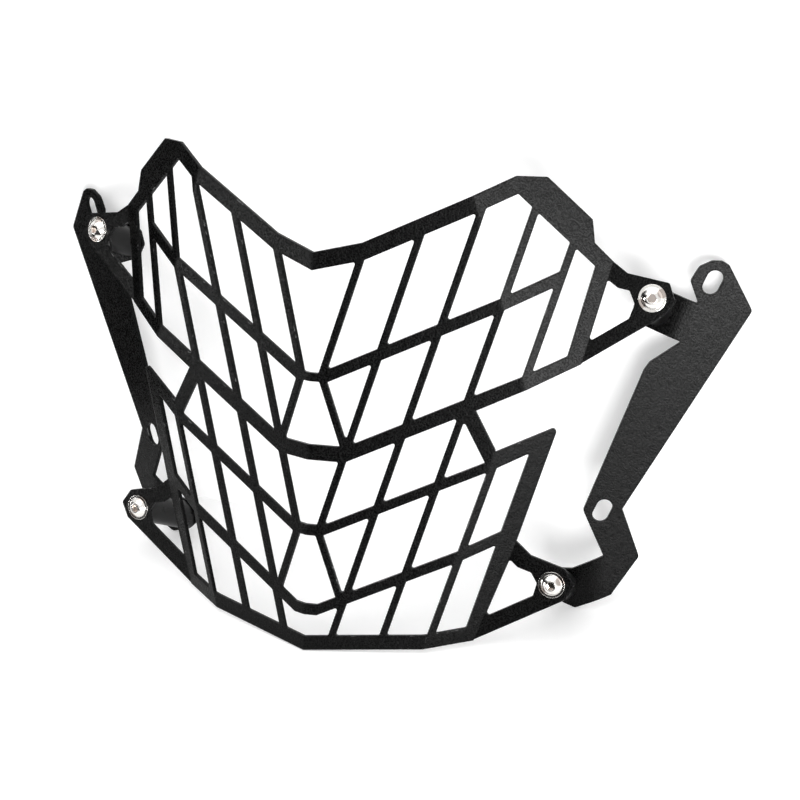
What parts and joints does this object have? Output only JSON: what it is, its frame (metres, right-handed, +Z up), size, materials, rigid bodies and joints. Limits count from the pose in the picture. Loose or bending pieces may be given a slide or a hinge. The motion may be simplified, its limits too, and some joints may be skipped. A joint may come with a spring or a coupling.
{
  "type": "motorcycle headlight guard",
  "caption": "Motorcycle headlight guard: a folded steel lattice grille in black powder coat on two slotted side brackets with round rubber stand-offs and domed steel screws.",
  "frame": {"origin": "On the resting plane, midway across the guard and midway from its front to its back.", "axes": "+X to the right as seen from in front of the guard; +Y backwards, to the motorcycle; +Z up as it rests on the foot of its ridge and its two lower flanges."},
  "size_m": [0.396, 0.1421, 0.2321],
  "materials": {
    "grille_coat": "fine textured black powder coat",
    "bracket_coat": "fine textured black powder coat",
    "standoff_rubber": "smooth black",
    "screw_steel": "polished stainless steel",
    "bolt_black": "black zinc"
  },
  "bodies": {
    "root": {"guard_grille": "grille_coat", "right_bracket": "bracket_coat", "left_bracket": "bracket_coat", "upper_right_standoff": "standoff_rubber", "lower_right_standoff": "standoff_rubber", "upper_left_standoff": "standoff_rubber", "lower_left_standoff": "standoff_rubber", "upper_right_screw": "screw_steel", "lower_right_screw": "screw_steel", "upper_left_screw": "screw_steel", "lower_left_screw": "screw_steel", "upper_right_bolt": "bolt_black", "lower_right_bolt": "bolt_black", "upper_left_bolt": "bolt_black", "lower_left_bolt": "bolt_black"}
  },
  "joints": []
}
